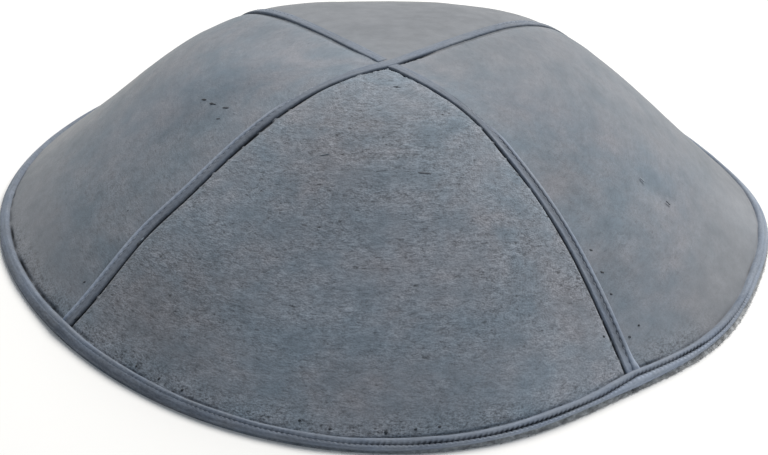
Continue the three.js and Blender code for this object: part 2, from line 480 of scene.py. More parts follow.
def volume(points, faces):
    a, b, c, d = (points[faces[:, corner]] for corner in range(4))
    return (np.einsum("ij,ij->i", a, np.cross(b, c)) + np.einsum("ij,ij->i", a, np.cross(c, d))).sum() / 6


def above_floor(grid, clearance=0.0):
    """The same points, with the lowest ones moved up to a height over the floor."""
    grid[..., 2] = np.maximum(grid[..., 2], clearance)
    return grid


def piece(name, grid, material, slot, node=None, ring=False, **layers):
    """One object of closed bodies, with its vertex layers, on the cap's only body."""
    if grid.ndim == 3:
        grid = grid[None]
    points = grid.reshape(-1, 3)
    faces = loft(grid, ring)
    if volume(points, faces) < 0:
        faces = faces[:, ::-1]
    mesh = bpy.data.meshes.new(name)
    mesh.from_pydata(points.tolist(), [], faces.tolist())
    mesh.shade_smooth()
    for key, values in layers.items():
        kind, field = ("FLOAT_VECTOR", "vector") if values.size == points.size else ("FLOAT", "value")
        made = mesh.attributes.new(key, kind, "POINT")
        made.data.foreach_set(field, values.astype(np.float32).ravel())
    mesh.materials.append(material)
    thing = new_object(name, mesh)
    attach(thing, "root")
    if node:
        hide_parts(node)


def tubes(lines, out, radii, sides):
    """Sections of thin round bodies along lines of points, given as [body, station]."""
    ahead = unit(lines[:, -1] - lines[:, 0])
    beside = unit(np.cross(out, ahead))
    over = np.cross(ahead, beside)
    turn = (np.arange(sides) + 0.5) * 2 * np.pi / sides
    circle = beside[:, None] * np.cos(turn)[:, None] + over[:, None] * np.sin(turn)[:, None]
    return lines[:, :, None] + circle[:, None] * radii[..., None, None]


# Materials

# Colours as red, green, blue and opacity
SUEDE_COOL = (0.178, 0.220, 0.268, 1.0)
SUEDE_WARM = (0.212, 0.222, 0.252, 1.0)
SUEDE_SMOOTH = (0.210, 0.222, 0.245, 1.0)
RAW_DARK = (0.25, 0.255, 0.26, 1.0)
RAW_PALE = (0.62, 0.64, 0.66, 1.0)
# Painted shade in the gaps beside the trims and under the rim trim's upper side; also the dark flecks' own
# colour
SHADE_AND_SPECK_DARK = (0.001, 0.002, 0.004, 1.0)
TRIM_COOL = (0.158, 0.190, 0.248, 1.0)
TRIM_WARM = (0.188, 0.212, 0.254, 1.0)
# Painted shade in the trims' grooves and stitch holes, and on their buried under sides
GROOVE_SHADE = (0.010, 0.014, 0.024, 1.0)
THREAD_DARK = (0.26, 0.29, 0.35, 1.0)
THREAD_PALE = (0.42, 0.46, 0.53, 1.0)
FLOOR_DARK = (0.93, 0.93, 0.93, 1.0)
FLOOR_PALE = (0.95, 0.95, 0.95, 1.0)


def add(tree, kind, inputs=None, **settings):
    """A shader node. Inputs are values, or the outputs that feed them."""
    made = tree.nodes.new("ShaderNode" + kind)
    for name, value in settings.items():
        setattr(made, name, value)
    for socket, value in (inputs or {}).items():
        if isinstance(value, bpy.types.NodeSocket):
            tree.links.new(value, made.inputs[socket])
        else:
            made.inputs[socket].default_value = value
    return made


def calculate(tree, operation, first, second=0.0):
    return add(tree, "Math", {0: first, 1: second}, operation=operation).outputs[0]


def layer(tree, name, output="Fac"):
    return add(tree, "Attribute", attribute_name=name).outputs[output]


def noise(tree, vector, scale, detail=2.0, roughness=0.5, distortion=0.0):
    """Random values round 0. scale gives lumps per metre along each axis."""
    stretched = add(tree, "Mapping", {"Vector": vector, "Scale": scale}).outputs["Vector"]
    grain = {"Scale": 1.0, "Detail": detail, "Roughness": roughness, "Distortion": distortion}
    made = add(tree, "TexNoise", {"Vector": stretched, **grain})
    return calculate(tree, "SUBTRACT", made.outputs["Fac"], 0.5)


def spread_of(tree, value, low, high, to_low=0.0, to_high=1.0):
    inputs = {"Value": value, "From Min": low, "From Max": high, "To Min": to_low, "To Max": to_high}
    return add(tree, "MapRange", inputs, clamp=True).outputs["Result"]


def total(tree, *parts):
    """The sum of values, each given with its weight."""
    made = 0.0
    for value, weight in parts:
        made = calculate(tree, "ADD", made, calculate(tree, "MULTIPLY", value, weight))
    return made


def mixed(tree, share, first, second):
    return add(tree, "Mix", {0: share, 6: first, 7: second}, data_type="RGBA").outputs[2]


def brightened(tree, colour, light):
    return add(tree, "VectorMath", {0: colour, "Scale": light}, operation="SCALE").outputs["Vector"]


def finish(tree, shader, colour, height, strength, distance):
    tree.links.new(colour, shader.inputs["Base Color"])
    bump = add(tree, "Bump", {"Height": height, "Strength": strength, "Distance": distance})
    tree.links.new(bump.outputs["Normal"], shader.inputs["Normal"])


def new_material(name, preview, **principled):
    """A material and its tree. Constant values go on the shader's own sockets."""
    material = bpy.data.materials.new(name)
    material.use_nodes = True
    material.diffuse_color = (*preview, 1.0)
    tree = material.node_tree
    shader = tree.nodes["Principled BSDF"]
    for socket, value in principled.items():
        shader.inputs[socket.replace("_", " ")].default_value = value
    return material, tree, shader


def suede_material():
    material, tree, shader = new_material(
        "suede", (0.17, 0.19, 0.215), Roughness=0.95, Specular_IOR_Level=0.12,
        Sheen_Weight=0.2, Sheen_Roughness=0.5, Sheen_Tint=(1.0, 0.98, 0.93, 1.0))
    cloth = layer(tree, "cloth", "Vector")
    nap = layer(tree, "nap")
    # Soft stains, painted light and shade patches, brushed nap and light flecks
    tone_and_painted_light = layer(tree, "tone_and_painted_light")
    worn = layer(tree, "worn")
    # Lumps per metre across the nap, along it and through it, then detail, roughness and distortion
    blotches = noise(tree, cloth, (45, 60, 60), 4, 0.6, 0.4)
    patches = noise(tree, cloth, (120, 160, 150))
    mottle = noise(tree, cloth, (280, 380, 380), 2, 0.6)
    strokes = noise(tree, cloth, (620, 1180, 900), 2, 0.6, 0.3)
    pits = noise(tree, cloth, (450, 1350, 900), 1, 0.5, 0.2)
    fibres = noise(tree, cloth, (1900, 2700, 1900), 2, 0.65)
    spots = noise(tree, cloth, (640, 760, 640), 3, 0.6)

    warmth = spread_of(tree, total(tree, (blotches, 1.0), (patches, 0.5)), -0.2, 0.2)
    base = mixed(tree, warmth, SUEDE_COOL, SUEDE_WARM)
    base = mixed(tree, spread_of(tree, nap, 0.10, 0.30, 1.0, 0.0), base, SUEDE_SMOOTH)

    # How much lighter each kind of grain makes the suede: a rough nap is combed, a worn one is speckled
    napped_mottle = calculate(tree, "MULTIPLY", mottle, total(tree, (nap, 0.45), (0.25, 1.0)))
    soft = total(tree, (blotches, 0.36), (patches, 0.28), (napped_mottle, 1.0), (tone_and_painted_light, 1.0))
    ragged = calculate(tree, "MULTIPLY", nap, spread_of(tree, patches, -0.2, 0.15, 0.55, 1.25))
    strands = total(tree, (strokes, 1.10), (fibres, 1.25), (spread_of(tree, pits, 0.15, 0.26), -0.42))
    combed = calculate(tree, "MULTIPLY", strands, ragged)
    holes = spread_of(tree, spots, 0.05, 0.13)
    grit = total(tree, (holes, -0.75), (spots, 2.9), (fibres, 1.3), (0.10, 1.0))
    rubbed = calculate(tree, "MULTIPLY", worn, grit)
    light = total(tree, (soft, 1.0), (combed, 1.0), (rubbed, 1.0), (1.0, 1.0))
    napped = brightened(tree, base, light)

    raw = mixed(tree, spread_of(tree, spots, -0.12, 0.12), RAW_DARK, RAW_PALE)
    cut = mixed(tree, layer(tree, "cut"), napped, raw)
    # Painted shade in the gaps beside the trims and along the rim trim, and the dark flecks' own colour
    shown = mixed(tree, layer(tree, "gap_shade_and_specks"), cut, SHADE_AND_SPECK_DARK)
    height = calculate(tree, "MULTIPLY", total(tree, (strokes, 0.8), (fibres, 0.5), (mottle, 0.6)), ragged)
    finish(tree, shader, shown, height, 0.45, 0.0005)
    return material


def trim_material():
    material, tree, shader = new_material(
        "trim", (0.23, 0.265, 0.32), Roughness=0.75, Specular_IOR_Level=0.25,
        Sheen_Weight=0.15, Sheen_Roughness=0.45, Sheen_Tint=(0.9, 0.95, 1.0, 1.0))
    strip = layer(tree, "strip", "Vector")
    patches = noise(tree, strip, (140, 420, 160))
    scuffs = noise(tree, strip, (420, 1500, 400), 2, 0.6, 0.4)
    grain = noise(tree, strip, (1300, 2400, 1300), 3, 0.6)
    base = mixed(tree, spread_of(tree, patches, -0.2, 0.2), TRIM_COOL, TRIM_WARM)
    # Painted light and shade on the trims' lobes, with random mottle
    light = total(tree, (grain, 0.7), (scuffs, 0.6), (layer(tree, "tone_and_painted_light"), 1.0), (1.0, 1.0))
    shaded = brightened(tree, base, light)
    # Painted shade in the grooves and on the buried under side
    shown = mixed(tree, layer(tree, "groove_shade"), shaded, GROOVE_SHADE)
    finish(tree, shader, shown, total(tree, (grain, 1.0), (scuffs, 0.6)), 0.4, 0.0002)
    return material


def thread_material():
    material, tree, shader = new_material(
        "thread", (0.36, 0.4, 0.47), Roughness=0.6, Specular_IOR_Level=0.3, Sheen_Weight=0.2)
    strip = layer(tree, "strip", "Vector")
    turned = add(tree, "Mapping", {"Vector": strip, "Rotation": (0, 0, math.radians(40))}).outputs["Vector"]
    twist = add(tree, "TexWave", {"Vector": turned, "Scale": 1800.0, "Distortion": 0.5}).outputs["Fac"]
    base = mixed(tree, twist, THREAD_DARK, THREAD_PALE)
    finish(tree, shader, base, twist, 0.4, 0.00005)
    return material


SUEDE = suede_material()
TRIM = trim_material()
THREAD = thread_material()


# Panels

NEAR_SEAM = np.array([0, 0.8, 1.2, 1.35, 1.43, 1.5, 1.57, 1.64, 1.72, 1.85, 2.15, 2.7, 3.5]) * MM
ACROSS_HALF = 50  # columns from the last of those to the panel's middle
ABOVE_TRIM = np.array([3.2, 2.2, 1.6, 1.2, 0.9, 0.65, 0.45, 0.3, 0.15, 0, -0.5, -1.5, -2.4]) * MM
DOWN_ROWS = 190
RAW_ROWS = 5
EDGE_ROWS = 6
EDGE_TURN = np.linspace(0, 1, EDGE_ROWS + 2)[1:-1, None, None]  # round the wall's lower corner
EDGE_PITCH = 0.2 * MM  # from the last row on the outer face to the corner
GRAIN_FAN = 0.55  # how far the nap's direction follows the panel's spread towards its sides
# Low relief of a panel: how high, the size of the lumps, their layer, and the distances from the lower
# edge where they start and are full
PANEL_RELIEF = (
    (0.30 * MM, 0.030, 0, 0.001, 0.012),
    (0.12 * MM, 0.010, 1, 0.001, 0.012),
    (0.035 * MM, 0.0026, 2, 0.0005, 0.003),
    (0.10 * MM, 0.0016, 1, 0.0012, 0.0),
)
# Bands along a seam or the rim trim: the distance of their middle and their spread
PULLED_IN = (0.0, 0.0024)
SWOLLEN = (0.006, 0.004)
BRUSHED = (0.0035, 0.0022)
WORN_BY_SEAM = (0.002, 0.0022)
WORN_BY_RIM = (0.0006, 0.0036)
PULL_DEPTH = 0.10 * MM
SWELL_HEIGHT = 0.15 * MM
BRUSHED_TONE = 0.06  # how much lighter
SEAM_WEAR = 0.8  # as a share of the wear above the rim trim


def columns_from_seam(seam, direction, down):
    """Places round the cap of half a panel's columns in each row: fixed distances beside the seam, then
    even steps."""
    scale = norm(skin(seam + direction * NUDGE, down) - skin(seam, down)) / NUDGE
    shrink = np.minimum(1, 0.5 * scale / NEAR_SEAM[-1])
    near = NEAR_SEAM * (shrink / scale)[:, None]
    share = np.linspace(0, 1, ACROSS_HALF + 1)[1:]
    far = near[:, -1:] + (1 - near[:, -1:]) * share
    return seam + direction * np.hstack([near, far])


def panel_rows(around):
    """Down values of a panel's rows: even steps from the tip, fixed distances from the rim trim, and the
    raw edge."""
    raw = sizes(around)["raw_edge"]
    trim_top = rim_look("top", around)
    last = from_edge(around[DOWN_ROWS - 1], trim_top[DOWN_ROWS - 1] + ABOVE_TRIM[0])
    upper = TIP + (last - TIP) * np.linspace(0, 1, DOWN_ROWS)[:, None]
    beside_trim = trim_top[DOWN_ROWS:-RAW_ROWS] + ABOVE_TRIM[1:, None]
    share = np.linspace(0.8, 0, RAW_ROWS)[:, None]
    below_trim = EDGE_PITCH + raw[-RAW_ROWS:] * share
    lower = from_edge(around[DOWN_ROWS:], np.vstack([beside_trim, below_trim]))
    return np.vstack([upper, lower])


def panel_grid(first_seam):
    """Places round the cap and down values of a panel's outer face."""
    count = DOWN_ROWS + len(ABOVE_TRIM) - 1 + RAW_ROWS
    down = np.linspace(TIP, 1, count)
    for _ in range(3):
        left = columns_from_seam(first_seam, 1, down)
        right = columns_from_seam(first_seam + 2, -1, down)
        around = np.hstack([left, right[:, -2::-1]])
        rows = panel_rows(around)
        down = rows[:, 0]
    return around, rows


def dashes(distance, seed):
    """Strength from 0 to 1 of the painted shade in the gap beside a trim, which the stitches break into
    dashes.
    """
    picks = np.random.default_rng(seed).uniform(0, 1, (2, 64))
    place = distance / GAP_DASH
    index = np.floor(place).astype(int) % picks.shape[1]
    share = place - np.floor(place)
    bridge = 0.10 + 0.25 * picks[0][index] ** 2
    opening = ramp(0, 0.10, share) * (1 - ramp(1 - bridge, 1 - bridge + 0.1, share))
    strength = 0.7 + 0.3 * picks[1][index]
    unbroken = picks[1][index] > 0.6
    return np.where(unbroken, strength, (0.25 + 0.75 * opening) * strength)


def trim_gap_shade(flat, along, side, half_width, look, seed):
    """How dark the painted shade in the gap beside a seam's trim is. along and side: distances from the
    crown and the seam.
    """
    strength, at_crown, reach, broken = look
    fading = np.clip(0.95 + 0.5 * lumps(flat, 0.007, 3), 0, 1)
    pattern = 1 - broken * (1 - dashes(along, seed) * fading)
    pattern = pattern * (strength + (at_crown - strength) * ramp(0.014, 0.006, along))
    reach = reach * (1 + ramp(0.060, 0.035, along) - 0.5 * ramp(0.025, 0.008, along))
    gap = 1 - ramp(GAP_CORE * reach, reach, np.abs(side - GAP_MIDDLE))
    return gap * ramp(0.001, 0.003, half_width) * pattern


def rim_shadow(flat, above_trim):
    """How dark the line along the rim trim's upper side is: thin, but wider and ragged at the front left."""
    leftness = ramp(-0.055, -0.075, flat[..., 0]) * ramp(0.02, -0.01, flat[..., 1])
    thin = hump(above_trim, 0.0001, 0.00025) * (0.15 + 0.35 * lumps(flat, 0.004, 3)) * (1 - leftness)
    ragged = leftness * hump(above_trim, 0.0002, 0.00045) * (0.45 + 0.6 * lumps(flat, 0.0022, 3))
    return np.maximum(thin + ragged, 0)


def stains_and_painted_light(points):
    """Tone and push of the soft stains, painted light and shade patches and dents at points of the skin."""
    tone_and_painted_light, push = np.zeros((2, *points.shape[:-1]))
    for photo_x, photo_y, radius, lighter, *pushed in STAINS_AND_PAINTED_LIGHT:
        centre = skin(*behind_pixel(photo_x, photo_y))
        near = hump(norm(points - centre), 0, radius)
        tone_and_painted_light += lighter * near
        push += sum(pushed) * near
    return tone_and_painted_light, push


def nap_of(flat, to_edge, at_front, far_off):
    """How rough the nap is: less so towards the cap's back and its far sides, and near the lower edge."""
    farness = ramp(-0.035, 0.005, flat[..., 1])
    sideness = ramp(0.056, 0.080, np.abs(flat[..., 0]))
    nap = at_front + (far_off - at_front) * np.maximum(farness, sideness)
    return nap * (1 - 0.35 * ramp(0.03, 0.005, to_edge))


def wall_sections(around, down, flat, relief):
    """A panel's wall as rows of points: the outer face, the rounded lower corner and the inner face."""
    normal = outward(around, down)
    outer = flat + normal * relief[..., None]
    inner = flat + normal * (relief - WALL)[..., None]
    inner = np.where(inner[..., 2:] < 0, inner * [1, 1, 0], inner)
    level = normal[-1] * [1, 1, 0]
    foot = skin(around[-1], 1.0)
    inner_foot = foot - level * (WALL / (level**2).sum(-1))[:, None]
    under_wall = 0.6 * foot + 0.4 * inner_foot
    rest = 1 - EDGE_TURN
    corner = outer[-1] * rest**2 + foot * 2 * EDGE_TURN * rest + under_wall * EDGE_TURN**2
    return above_floor(np.vstack([outer, corner, inner[::-1]]))


def cloth_places(across, along, seed):
    """Where the wall's points lie on the panel's own cloth, with its second axis along the nap."""
    half_width = across[:, -1:] / 2
    fan = GRAIN_FAN * (across - half_width) / np.maximum(along, MM)
    sideways = along * np.sin(fan) / GRAIN_FAN
    upwards = along * np.cos(fan)
    own_place = 0.3 * seed  # keeps the panels' grains apart
    outer = np.stack([sideways, upwards, np.full_like(along, own_place)], axis=-1)
    corner = outer[-1:] + EDGE_TURN * [0, 0.002, 0]
    inner = outer[::-1] + [0, 0, 0.15]
    return np.vstack([outer, corner, inner])


def panel(name, first_seam, gaps, nap_range, seed):
    """gaps: the looks of the painted shade in the gap beside the trim at the first and the second seam.
    nap_range: how rough the nap is at the cap's front, and towards its back and far sides."""
    around, down = panel_grid(first_seam)
    flat = skin(around, down)
    across = lengths(flat, 1)
    along = lengths(flat, 0)
    half_width = across[:, -1:] / 2
    to_edge = along[-1:] - along + EDGE_PITCH
    above_trim = to_edge - rim_look("top", around)
    wide_enough = ramp(0.001, 0.007, half_width)
    above_edge = ramp(0.001, 0.012, to_edge)

    tone_and_painted_light, relief = stains_and_painted_light(flat)
    for height, size, lattice, low, full in PANEL_RELIEF:
        relief += height * lumps(flat, size, lattice) * ramp(low, full, to_edge)
    at_front = ramp(-0.005, -0.03, flat[..., 1]) * ramp(0.075, 0.06, flat[..., 0])
    worn = hump(above_trim, *WORN_BY_RIM) * at_front
    # Painted shade: the shadow line along the rim trim's upper side and the gaps beside the seams' trims
    gap_shade_and_specks = rim_shadow(flat, above_trim)
    for side, look in zip((across, across[:, -1:] - across), gaps):
        strength = look[0]
        relief -= PULL_DEPTH * hump(side, *PULLED_IN) * wide_enough * strength
        relief += SWELL_HEIGHT * hump(side, *SWOLLEN) * wide_enough * above_edge
        tone_and_painted_light += BRUSHED_TONE * hump(side, *BRUSHED) * wide_enough
        worn = np.maximum(worn, SEAM_WEAR * hump(side, *WORN_BY_SEAM) * strength)
        gap_shade_and_specks = np.maximum(gap_shade_and_specks, trim_gap_shade(flat, along, side, half_width, look, seed))
    relief -= GAP_DEPTH * gap_shade_and_specks

    cut = 1 - ramp(0.0010, 0.0022, to_edge)
    shown_cut = ramp(0.0004, 0.0011, sizes(around[-1])["raw_edge"])
    nap = nap_of(flat, to_edge, *nap_range)
    corner = np.zeros((EDGE_ROWS, around.shape[1]))
    layers = {
        "cloth": cloth_places(across, along, seed),
        "cut": np.vstack([cut, corner + 1, cut[::-1]]) * shown_cut,
        "nap": np.vstack([nap, corner + 0.5, nap[::-1]]),
    }
    for key, values in {"worn": worn, "gap_shade_and_specks": gap_shade_and_specks, "tone_and_painted_light": tone_and_painted_light}.items():
        layers[key] = np.vstack([values, corner, 0 * values])
    turned = {key: np.swapaxes(values, 0, 1) for key, values in layers.items()}
    wall = np.swapaxes(wall_sections(around, down, flat, relief), 0, 1)
    piece(name, wall, SUEDE, "suede", node=name, **turned)


# Trims

SMOOTHED = 0.002  # outward directions are averaged this far both ways along a seam
LOBE_POINTS = 8
LOBE_TURN = np.sin(np.linspace(-np.pi / 2, np.pi / 2, LOBE_POINTS))


def lobe(low, high, crest, low_floor, high_floor, roundness):
    """Places across one lobe of a strip and their heights. A small roundness gives a flat top."""
    share = (LOBE_TURN + 1) / 2
    floor = low_floor + (high_floor - low_floor) * share
    return low + (high - low) * share, floor + (crest - floor) * (1 - LOBE_TURN**2) ** (roundness / 2)


def joined(first, second):
    """A section's two lobes as one line of places across and one of heights."""
    places, heights = ([np.atleast_2d(part[axis]) for part in (first, second)] for axis in (0, 1))
    return tuple(np.concatenate(np.broadcast_arrays(low, high), axis=1) for low, high in (places, heights))


def trim_piece(name, top, bottom, distance, across, groove_shade, tone_and_painted_light, seed, ring=False):
    """A strip from its upper and under points at each station, and their layers."""
    grid = above_floor(np.hstack([top, bottom]), TRIM_CLEARANCE)
    strip = np.stack(np.broadcast_arrays(distance[:, None], across, 0.1 * seed), axis=-1)
    layers = {
        "strip": np.hstack([strip, strip[:, ::-1]]),
        # The under side, buried in the suede, is painted fully dark as shade
        "groove_shade": np.hstack([np.clip(groove_shade, 0, 1), np.ones_like(groove_shade)]),
        "tone_and_painted_light": np.hstack([tone_and_painted_light, 0 * tone_and_painted_light]),
    }
    piece(name, grid, TRIM, "trim", node=name, ring=ring, **layers)


def rim_section(around, place, raw, pull, puff):
    """Places across the rim trim and heights there, then the groove's and the upper side's places and
    the groove's height."""
    groove = uneven(rim_look("groove", around) - raw, place, GROOVE_WANDER)
    width = uneven(rim_look("top", around) - raw, place, TOP_WANDER)
    start = uneven(0, place, FOOT_WANDER) - 0.35 * MM * near_row(around, FRONT_RIGHT, 0.25)
    rise = rim_look("rise", around) * uneven(1, place, RIM_SWELL)
    floor = rise * (0.95 - 0.55 * pull)
    across, heights = joined(
        lobe(start, groove, rise * 0.97, RIM_SKIRT, floor, RIM_ROUNDNESS[0]),
        lobe(groove, width, rise, floor, 0.0, RIM_ROUNDNESS[1]))
    lower_lip = hump(across, groove - 0.3 * MM, 0.22 * MM) * (across < groove) * puff * pull
    hole = hump(across, groove, 0.16 * MM) * np.maximum(-puff, 0) * pull
    heights = heights + lower_lip * 0.10 * MM - hole * 0.30 * MM
    across = across + lower_lip * 0.15 * MM
    for seam in SEAM_LOOKS:
        heights = heights + near_row(around, seam, 0.035) * 0.15 * MM
    return across, heights, groove, width, floor


def rim_trim():
    """The strip round the outside. Returns where its stitch holes are round the cap, and the groove's
    place, its height and the stitches' pull there."""
    dense = np.linspace(0, ROWS, 4001)
    line = skin(dense, from_edge(dense, RIM_MIDDLE))
    distance, around = even_steps(line, dense, RIM_STITCH / RIM_STEPS, RIM_STEPS)
    distance, around = distance[:-1], around[:-1, None]
    place = skin(around, from_edge(around, RIM_MIDDLE))
    raw = sizes(around)["raw_edge"]
    pull = rim_look("pull", around) * uneven(0.85, place, RIM_PULL)
    count = np.arange(len(around))
    puff = np.cos(2 * np.pi * count / RIM_STEPS)[:, None]
    across, heights, groove, width, floor = rim_section(around, place, raw, pull, puff)
    down = from_edge(around, raw + across)
    top = skin(around, down) + outward(around, down) * heights[..., None]
    under = np.linspace(0.97, 0.03, across.shape[1])[None] * RIM_WIDTH
    down = from_edge(around, raw + under)
    bottom = skin(around, down) - outward(around, down) * RIM_ROOT

    # Painted shadow along the groove under the upper lobe's overhang, slanting with each stitch
    slant = (count % RIM_STEPS / RIM_STEPS - 0.4)[:, None]
    groove_shadow_line = hump(across, groove + 0.15 * MM + 0.40 * MM * slant, 0.30 * MM)
    groove_shade = groove_shadow_line * (0.95 - 0.2 * puff) * np.minimum(1, 1.1 * pull**1.5)
    # Painted highlight along the upper lobe's crest; below, painted light and shade on both lobes from
    # RIM_LOOKS
    crest = 0.30 * hump(across, width - 1.0 * MM, 0.5 * MM) - 0.08
    on_lower = ramp(groove, groove - 0.3 * MM, across)
    tone_and_painted_light = crest + rim_look("upper_painted_light", around) + rim_look("lower_painted_light", around) * on_lower
    tone_and_painted_light = uneven(tone_and_painted_light, place, RIM_MOTTLE)
    trim_piece("rim_trim", top, bottom, distance, across, groove_shade, tone_and_painted_light, 1, ring=True)
    holes = count % RIM_STEPS == RIM_STEPS // 2
    return [values[holes, 0] for values in (around, groove, floor, pull)]


def seam_line(seam, other, start, end, spacing):
    """Even stations of a strip up one seam and down another: distances, signed down values, and the
    skin's points, outward and sideways directions there."""
    dense = np.linspace(start, end, 3001)
    line = skin(np.where(dense < 0, seam, other), np.abs(dense))
    distance, station = even_steps(line, dense, spacing)
    row = np.where(station < 0, seam, other)
    points = skin(row, np.abs(station))
    out = outward(row, np.abs(station))
    window = max(3, int(SMOOTHED / spacing))
    kernel = np.ones(2 * window + 1) / (2 * window + 1)
    padded = np.pad(out, ((window, window), (0, 0)), mode="edge")
    out = unit(np.stack([np.convolve(padded[:, axis], kernel, "valid") for axis in range(3)], axis=-1))
    side = unit(np.cross(out, np.gradient(points, axis=0)))
    return distance, station, points, out, side


def seam_look(seam, other, station):
    """The columns of SEAM_LOOKS along a strip, blended where it passes over the crown."""
    toward_other = ramp(-0.1, 0.1, station)[:, None, None]
    first, second = (np.array(SEAM_LOOKS[row]) for row in (seam, other))
    return dict(zip(SEAM_COLUMNS, np.moveaxis(first + (second - first) * toward_other, -1, 0)))


def seam_section(place, look, swell, raised, puff):
    """Places across a seam's trim and heights there, and the groove's and the side's places."""
    groove = uneven(look["groove"], place, SEAM_WANDER)
    edge = SEAM_WIDTH / 2 * uneven(1, place, SEAM_EDGE_WANDER)
    wide = SEAM_RISE * swell
    ridge = (SEAM_LOW + (look["ridge"] - SEAM_LOW) * raised) * swell
    floor = wide * (0.7 - 0.25 * raised * look["stitched"])
    across, heights = joined(
        lobe(-edge, groove, wide, SEAM_SKIRT, floor, SEAM_ROUNDNESS[0]),
        lobe(groove, edge, ridge, floor, SEAM_SKIRT, SEAM_ROUNDNESS[1]))
    hole = hump(across, groove, 0.14 * MM) * np.maximum(-puff, 0) * raised
    lips = hump(np.abs(across - groove), 0.3 * MM, 0.2 * MM) * puff * raised
    return across, heights + lips * 0.04 * MM - hole * 0.15 * MM, groove, edge


def seam_tone_and_painted_light(look, across, groove, raised, from_crown):
    """Painted light and shade on a seam's trim, as how much lighter it is than its colour: a painted
    highlight on the ridge, and on the wide lobe a darker tone, partly its own colour and partly painted
    shade, with a painted highlight along its shaded edge beside the gap.
    """
    on_ridge = raised * ramp(groove - 0.1 * MM, groove + 0.15 * MM, across)
    wide_share = ramp(0, 0.010, from_crown - look["wide_start"])
    # Painted highlight on the wide lobe's shaded edge beside the gap
    far_side_highlight = hump(across, -1.15 * MM, 0.4 * MM) * look["stitched"] * raised
    wide_tone_and_painted_light = look["wide_tone_and_painted_light"] + 0.5 * far_side_highlight
    return on_ridge * look["ridge_highlight"] + wide_share * wide_tone_and_painted_light * (1 - on_ridge)


def seam_trim(name, seam, other, start, end, flare=0.0, seed=0):
    """A strip with a wide flat lobe and a narrow ridge. The ridge lies flat near the crown. flare: how
    far the ridge spreads where the strip ends."""
    distance, station, points, out, side = seam_line(seam, other, start, end, SEAM_STITCH / SEAM_STEPS)
    place = points[:, None]
    to_go = (distance[-1] - distance)[:, None]
    to_end = np.minimum(distance[:, None], to_go)
    from_crown = norm(points - skin(0, 0))[:, None]
    puff = np.cos(2 * np.pi * distance / SEAM_STITCH)[:, None]
    look = seam_look(seam, other, station)
    raised = ramp(0, RIDGE_GROWTH, from_crown - look["ridge_start"])
    swell = uneven(1, place, SEAM_SWELL) * ramp(-0.0008, 0.0016, to_end)
    across, heights, groove, edge = seam_section(place, look, swell, raised, puff)
    across = across + flare * ramp(0.0035, 0.0, to_go) * (across > 0) * across / edge
    top = place + side[:, None] * across[..., None] + out[:, None] * heights[..., None]
    bottom = place + side[:, None] * across[:, ::-1, None] * 0.97 - out[:, None] * SEAM_ROOT

    merging = flare / MM * ramp(0.008, 0.001, to_go)
    stitched = raised * look["stitched"] * (1 - merging)
    # Painted shade in the groove, darker between the stitches
    groove_shade = hump(across, groove, 0.24 * MM) * (0.50 - 0.35 * puff) * stitched
    tone_and_painted_light = seam_tone_and_painted_light(look, across, groove, raised, from_crown)
    # Painted highlight where the trim's foot flares out at its end
    tone_and_painted_light = uneven(tone_and_painted_light, place, SEAM_MOTTLE) + 0.9 * merging
    trim_piece(name, top, bottom, distance, across, groove_shade, tone_and_painted_light, 2 + seed)


# Thread


def stitches(name, starts, ends, out, radius, arch):
    """Short stitches between pairs of points, each a small bent body that dives in at both ends."""
    share = np.linspace(0, 1, 6)
    lines = starts[:, None] + (ends - starts)[:, None] * share[:, None]
    lines = lines + out[:, None] * arch * ((4 * share * (1 - share)) ** 0.6)[:, None]
    radii = radius[:, None] * (0.55 + 0.45 * np.sin(np.pi * share) ** 0.5)
    grid = tubes(lines, out, radii, 6)
    strip = np.stack(np.broadcast_arrays(
        norm(lines - starts[:, None])[..., None],
        np.arange(6) * 0.15 * MM,
        0.01 * np.arange(len(starts))[:, None, None]), axis=-1)
    piece(name, grid, THREAD, "thread", strip=strip)


def rim_stitches(around, groove, floor, pull):
    """The stitches in the rim trim's groove, where they pull in enough to be seen."""
    down = from_edge(around, sizes(around)["raw_edge"] + groove - 0.14 * MM)
    out = outward(around, down)
    starts = skin(around, down) + out * (floor + 0.02 * MM)[:, None]
    ends = np.roll(starts, -1, axis=0)
    gap = (ends - starts) * 0.12
    shown = pull > 0.3
    radius = 0.15 * MM * pull[shown]
    stitches("rim_thread", (starts + gap)[shown], (ends - gap)[shown], out[shown], radius, 0.16 * MM)


def seam_stitches(name, seam, other, start, end):
    """The stitches in the groove of a seam's trim, one after another along the line."""
    _, station, points, out, side = seam_line(seam, other, start, end, SEAM_STITCH)
    height = SEAM_RISE * 0.45 + 0.03 * MM
    groove = np.where(station < 0, SEAM_LOOKS[seam][0], SEAM_LOOKS[other][0])[:, None]
    holes = points + side * groove + out * height
    step = np.diff(holes, axis=0) * 0.15
    radius = np.full(len(step), 0.11 * MM)
    stitches(name, holes[:-1] + step, holes[1:] - step, out[:-1], radius, 0.06 * MM)


# Loose fibres and flecks


def suede_layers(grid, **values):
    """Layers for small suede bodies, each value the same all over."""
    blank = np.zeros(grid.shape[:-1])
    layers = {name: blank + values.get(name, 0.0) for name in ("cut", "worn", "gap_shade_and_specks", "tone_and_painted_light", "nap")}
    return {"cloth": grid.copy(), **layers}


